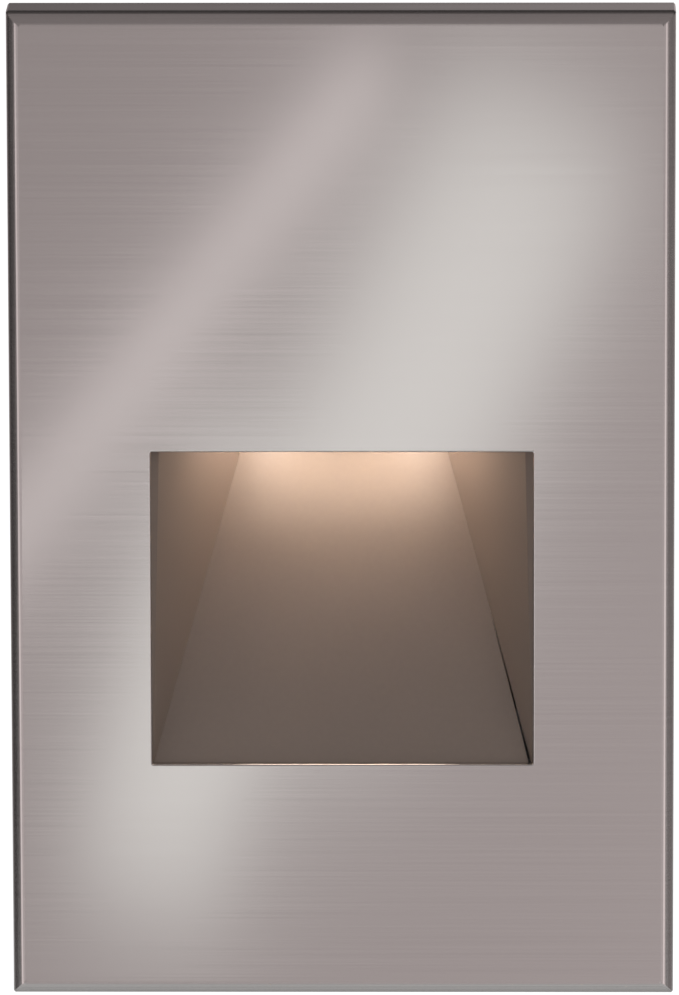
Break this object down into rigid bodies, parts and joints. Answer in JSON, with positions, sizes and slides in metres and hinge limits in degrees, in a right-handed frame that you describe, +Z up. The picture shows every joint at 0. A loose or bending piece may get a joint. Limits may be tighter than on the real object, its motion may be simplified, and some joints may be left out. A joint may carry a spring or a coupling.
{
  "type": "step light",
  "caption": "Recessed wall and step light: a folded steel face plate with one rectangular recess whose sloped panel is lit from a hidden source above.",
  "frame": {"origin": "middle of the bracket's two box screw holes, on the wall's face", "axes": "+X to the light's right as seen from the room, +Y into the wall, +Z up"},
  "size_m": [0.085, 0.0451, 0.128],
  "materials": {
    "brushed_steel": "horizontal brushed grain",
    "scoop_paint": "satin",
    "zinc_steel": "zinc plated",
    "earth_green": "green passivated",
    "foam": "closed-cell foam",
    "silicone": "matt silicone",
    "cast_aluminium": "die-cast, as cast",
    "frosted_glass": "frosted",
    "board_white": "white solder mask",
    "board_green": "green solder mask",
    "emitter": "phosphor",
    "black_plastic": "moulded",
    "white_plastic": "moulded",
    "terminal_plastic": "moulded",
    "lead_red": "insulation",
    "lead_black": "insulation",
    "copper": "enamelled winding",
    "brass": "turned",
    "stainless": "plain stainless",
    "rubber": "moulded rubber",
    "thermal_blue": "gap pad",
    "capacitor_sleeve": "shrink sleeve"
  },
  "bodies": {
    "bracket": {"mounting_bracket": "zinc_steel", "ground_screw": "earth_green"},
    "light": {"face_plate": "brushed_steel", "wall_gasket": "foam", "plate_studs": "stainless", "stud_washers": "stainless", "stud_nuts": "stainless", "screw_inserts": "stainless", "housing": "cast_aluminium", "front_gasket": "silicone", "reflector_slope": "scoop_paint", "left_cheek": "scoop_paint", "right_cheek": "scoop_paint", "lens": "frosted_glass", "lens_gasket": "silicone", "lens_retainer": "stainless", "retainer_screws": "stainless", "led_board": "board_white", "thermal_pad": "thermal_blue", "led_emitters": "emitter", "led_connector": "white_plastic", "board_screws": "stainless", "lead_grommet": "rubber", "led_lead_black": "lead_black", "led_lead_red": "lead_red", "driver_board": "board_green", "driver_standoffs": "brass", "driver_screws": "stainless", "driver_transformer": "copper", "driver_capacitors": "capacitor_sleeve", "driver_chips": "black_plastic", "driver_choke": "copper", "driver_terminals": "terminal_plastic", "terminal_screws": "brass", "rear_cover": "cast_aluminium", "cover_gasket": "silicone", "cover_screws": "stainless", "wire_bushing": "rubber"},
    "left_screw": {"left_set_screw": "stainless"},
    "right_screw": {"right_set_screw": "stainless"}
  },
  "joints": [
    {"name": "light_pull", "type": "slide", "parent": "bracket", "child": "light", "axis": [0, -1, 0], "range_m": [0, 0.04]},
    {"name": "left_screw_travel", "type": "slide", "parent": "light", "child": "left_screw", "axis": [-1, 0, 0], "range_m": [0, 0.003]},
    {"name": "right_screw_travel", "type": "slide", "parent": "light", "child": "right_screw", "axis": [1, 0, 0], "range_m": [0, 0.003]}
  ]
}
